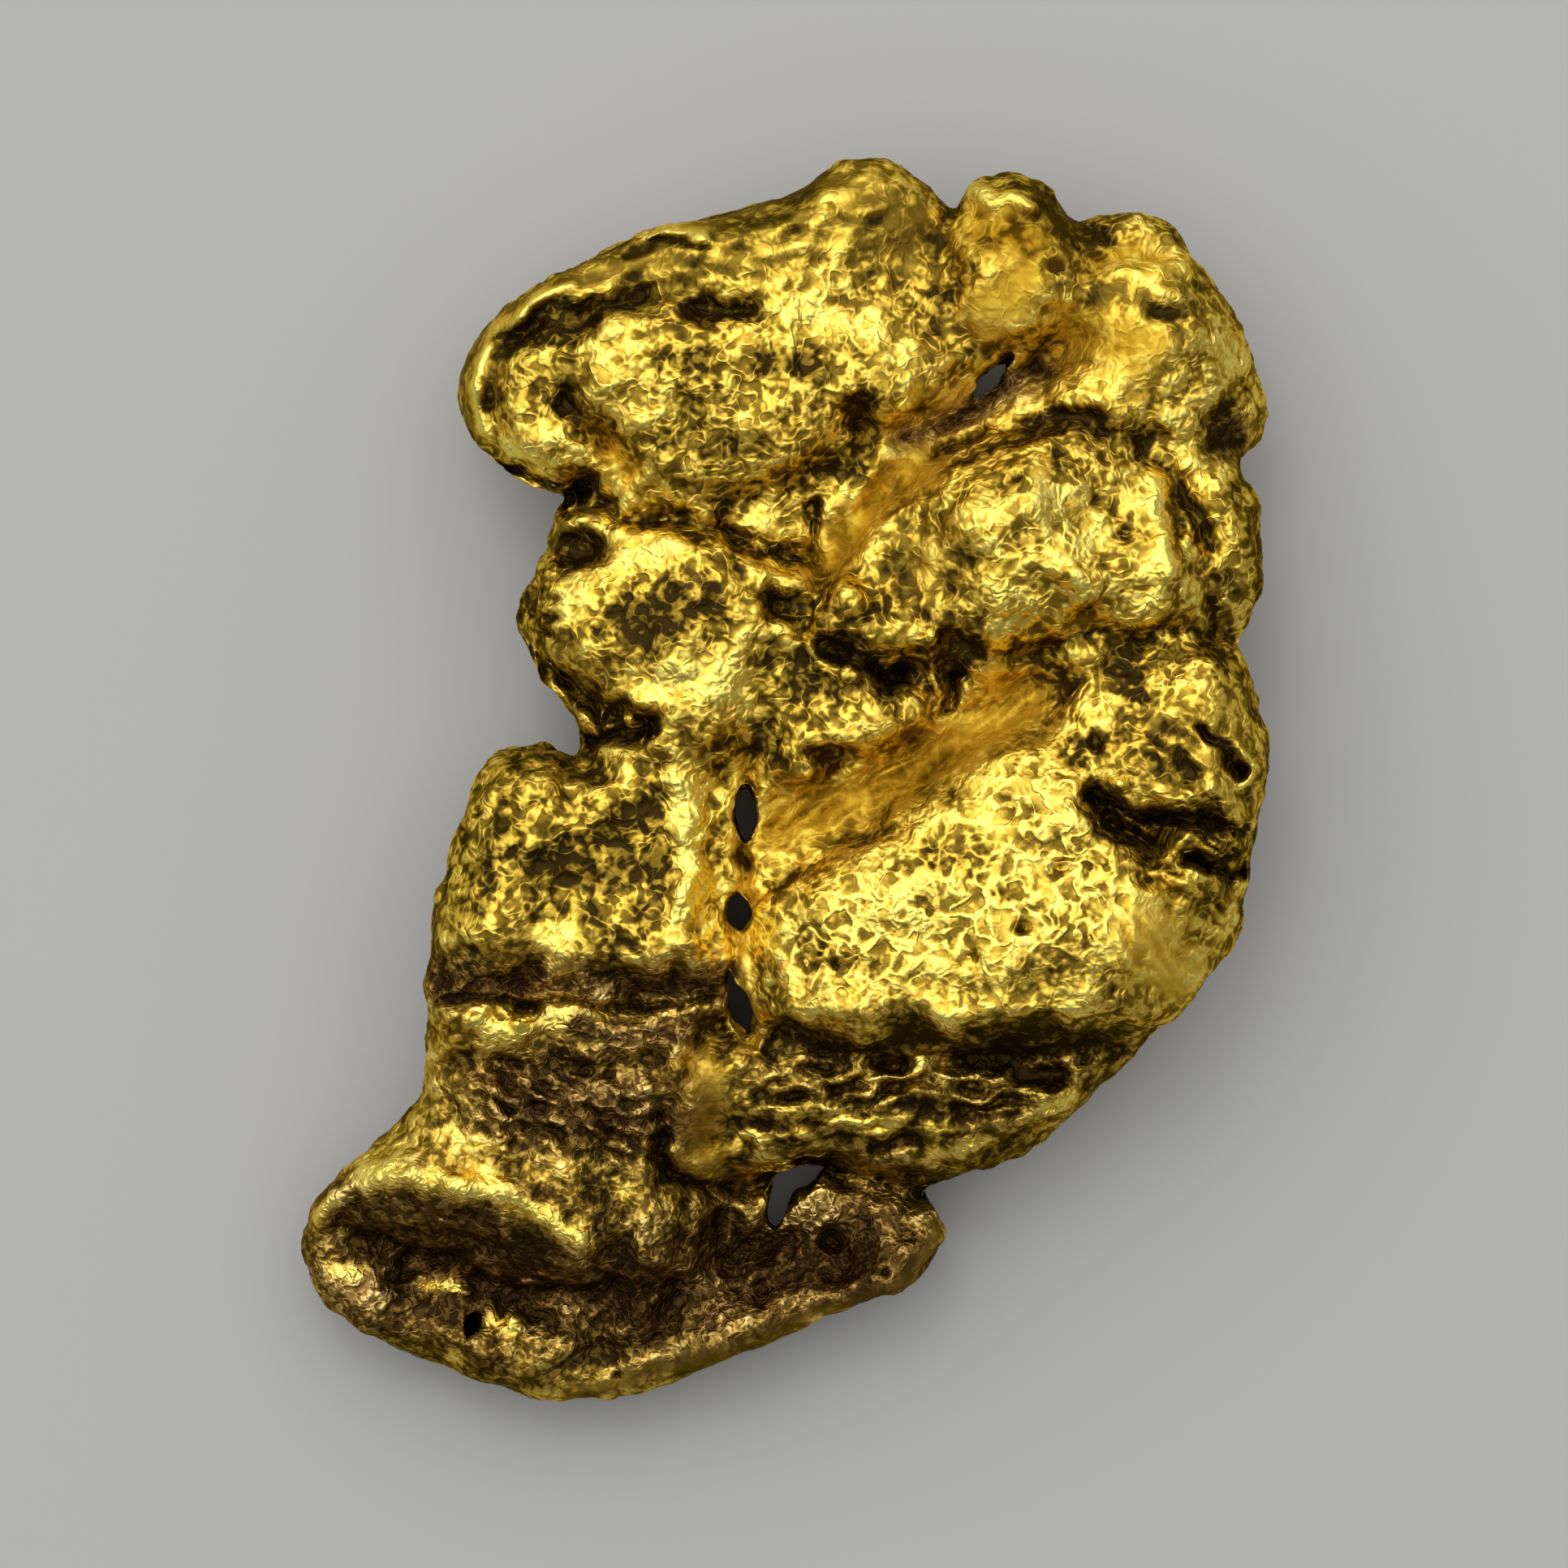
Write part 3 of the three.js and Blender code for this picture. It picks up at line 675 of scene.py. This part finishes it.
def noise(size, detail, distortion=0.0):
    scale = THOUSAND / size
    return wire.node(
        "ShaderNodeTexNoise", Vector=where, Scale=scale, Detail=detail, Distortion=distortion
    )


def granules(size):
    """Rounded grains of the given size in millimetres, pressed out of shape, as a height."""
    stir = wire.node("ShaderNodeTexNoise", output=1, Vector=where, Scale=THOUSAND / size, Detail=0.0)
    reach = (0.6 * size / THOUSAND,) * 3
    stirred = wire.node("ShaderNodeVectorMath", {"operation": "MULTIPLY_ADD"}, i0=stir, i1=reach, i2=where)
    away = wire.node("ShaderNodeTexVoronoi", Vector=stirred, Scale=THOUSAND / size)
    return 1 - away.ease(0.2, 0.72)


def worms(size, width):
    """Winding ridges of the given width, on a noise of the given size, in millimetres."""
    return (1 - abs(noise(size, 1.0, 0.6) - 0.5) * (3.3 * size / width)).ease(0.0, 1.0)


def painted(name):
    return wire.node("ShaderNodeAttribute", {"attribute_name": name}, output=2)


hollow = painted("hollow")
crown = painted("crown")
smooth = painted("smooth")
amber = painted("amber")
tarnish = painted("tarnish")
burnish = painted("burnish")
earth = painted("earth")
STREAK_WIDTH = 0.2
stretched = wire.node("ShaderNodeMapping", i0=where, i2=(0, 0, -0.6), i3=(0.2, 1.2, 1))
streaks = wire.node("ShaderNodeTexNoise", Vector=stretched, Scale=THOUSAND / STREAK_WIDTH, Detail=2.0)
small_grains = granules(0.18)
threads = worms(0.22, 0.1)

# The relief too fine for the mesh: grains in most places, a net on the crowns, specks on the
# dark earthy skin, and streaks in the amber one.
grains = granules(0.34) * 0.35 + small_grains * 0.3 + worms(0.32, 0.14) * 0.35
net = worms(0.42, 0.18) * 0.6 + threads * 0.15 + small_grains * 0.25
specks = small_grains * 0.5 + threads * 0.5
texture = earth.blend_value(crown.blend_value(grains, net), specks)
relief = texture * (1 - smooth * 0.5) + amber * streaks * 0.25

# How bright the metal is: the ground is broad patches and the areas named above, with painted shade in
# the hollows, on the flanks and in the shaded areas, and painted highlights on the crowns and bright
# areas. The raised parts of the relief are painted bright on top of it, partly rubbed metal and partly
# painted highlights, with painted shade in the gaps between them.
patches = noise(0.9, 2.0) * 0.9 + noise(2.2, 1.0) * 0.6 - 0.25
ground = patches * (1.4 - smooth * 0.8) + smooth * 0.5 + crown * 0.1 + amber * 0.28
ground = ground + burnish * 0.6 - hollow * 0.9 - tarnish * 0.5 - 0.1
darkest = tarnish * -0.25 - 0.2
contrast = 0.56 + crown * 0.14 - earth * 0.16 - smooth * 0.2
shade = wire.maths("MAXIMUM", ground, darkest) + relief.ease(0.12, 0.74) * contrast

# The colours of each kind of skin, from dark to bright.
METAL = (
    (0.0, (0.04, 0.024, 0.005, 1)),
    (0.35, (0.28, 0.177, 0.018, 1)),
    (0.65, (0.8, 0.53, 0.065, 1)),
    (1.0, (1.0, 0.81, 0.16, 1)),
)
EARTH = (
    (0.0, (0.03, 0.016, 0.005, 1)),
    (0.35, (0.11, 0.058, 0.015, 1)),
    (0.65, (0.3, 0.18, 0.05, 1)),
    (1.0, (0.8, 0.56, 0.2, 1)),
)
AMBER = (
    (0.0, (0.14, 0.068, 0.004, 1)),
    (0.4, (0.52, 0.31, 0.018, 1)),
    (0.75, (0.64, 0.42, 0.035, 1)),
    (1.0, (0.8, 0.56, 0.08, 1)),
)
yellow = wire.node("ShaderNodeValToRGB", {"stops": METAL}, Fac=shade)
brown = wire.node("ShaderNodeValToRGB", {"stops": EARTH}, Fac=shade)
orange = wire.node("ShaderNodeValToRGB", {"stops": AMBER}, Fac=shade)
colour = amber.blend(yellow, orange)
# The brown skin takes over: earthy on the foot, and painted shade on the step, in the clefts and on the
# slope.
colour = (earth * (1 - burnish)).blend(colour, brown)
roughness = 0.55 - shade.ease(0.1, 0.9) * 0.2 + amber * 0.25
GRAIN_HEIGHT = 0.00004
bump = wire.node("ShaderNodeBump", Height=relief, Distance=GRAIN_HEIGHT, Strength=1.0)
tree.links.new(colour.socket, shader.inputs["Base Color"])
tree.links.new(roughness.socket, shader.inputs["Roughness"])
tree.links.new(bump.socket, shader.inputs["Normal"])
shader.inputs["Metallic"].default_value = 1.0
shader.inputs["Specular Tint"].default_value = (1.0, 0.8, 0.4, 1)
nugget.data.materials.append(gold)
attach(nugget, "root")
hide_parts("nugget")

# ---- Floor, light and camera ----
# A sheet of pale paper under one soft lamp, in a white tent that is brightest overhead.
bpy.ops.mesh.primitive_plane_add(size=2)
floor = bpy.context.object
floor.name = "floor"
paper = bpy.data.materials.new("pale_floor")
paper.use_nodes = True
paper_shader = paper.node_tree.nodes["Principled BSDF"]
paper_shader.inputs["Base Color"].default_value = (0.4, 0.4, 0.39, 1)
paper_shader.inputs["Roughness"].default_value = 0.8
floor.data.materials.append(paper)

bpy.ops.object.light_add(type="AREA", location=(-0.04, 0.11, 0.22), rotation=(-0.46, -0.18, 0))
lamp = bpy.context.object
lamp.data.shape = "DISK"
lamp.data.size = 0.08
lamp.data.energy = 0.06

world = bpy.data.worlds.new("tent")
world.use_nodes = True
tent = Wire(world.node_tree)
overhead = tent.node(
    "ShaderNodeVectorMath", {"operation": "DOT_PRODUCT"}, output=1,
    i0=tent.node("ShaderNodeTexCoord"), i1=(-0.17, 0.5, 0.85)
)
glow = overhead.ease(0.1, 0.98).blend((0.18, 0.18, 0.18, 1), (1.65, 1.65, 1.65, 1))
background = world.node_tree.nodes["Background"]
world.node_tree.links.new(glow.socket, background.inputs["Color"])
background.inputs["Strength"].default_value = 1.0
bpy.context.scene.world = world
bpy.context.scene.view_settings.view_transform = "Standard"

# The camera looks straight down through a long lens.
bpy.ops.object.camera_add(location=(0.00004, -0.00002, 0.154))
camera = bpy.context.object
camera.rotation_euler = (0, 0, 0)
camera.data.sensor_width = 36
camera.data.lens = 180.5
camera.data.clip_start = 0.01
bpy.context.scene.camera = camera
